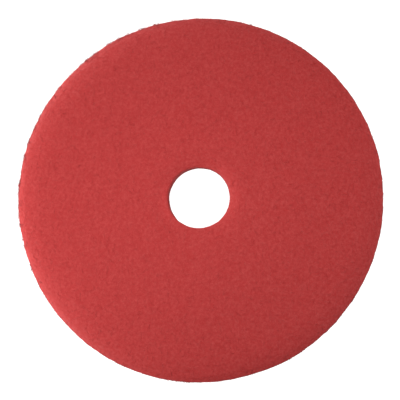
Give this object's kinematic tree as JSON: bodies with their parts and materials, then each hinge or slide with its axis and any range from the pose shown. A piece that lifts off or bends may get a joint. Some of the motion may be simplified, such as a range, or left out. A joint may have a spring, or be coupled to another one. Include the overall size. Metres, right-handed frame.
{
  "type": "rotary floor machine pad",
  "caption": "Thick round pad of non-woven fibre web with a centre hole, driven by a rotary floor machine to scrub or buff hard floors.",
  "frame": {"origin": "on the axis of the centre hole, in the plane of the lower face", "axes": "+Z along the axis of the disc and of its centre hole, from the lower face to the upper face; +X and +Y are any two radii at right angles"},
  "size_m": [0.4825, 0.4826, 0.0254],
  "materials": {
    "coated_web": "matte red non-woven fibre web bonded with resin and fine abrasive",
    "core_web": "matte red open non-woven fibre web with less resin"
  },
  "bodies": {
    "root": {"upper_coated_face": "coated_web", "open_core": "core_web", "lower_coated_face": "coated_web"}
  },
  "joints": []
}
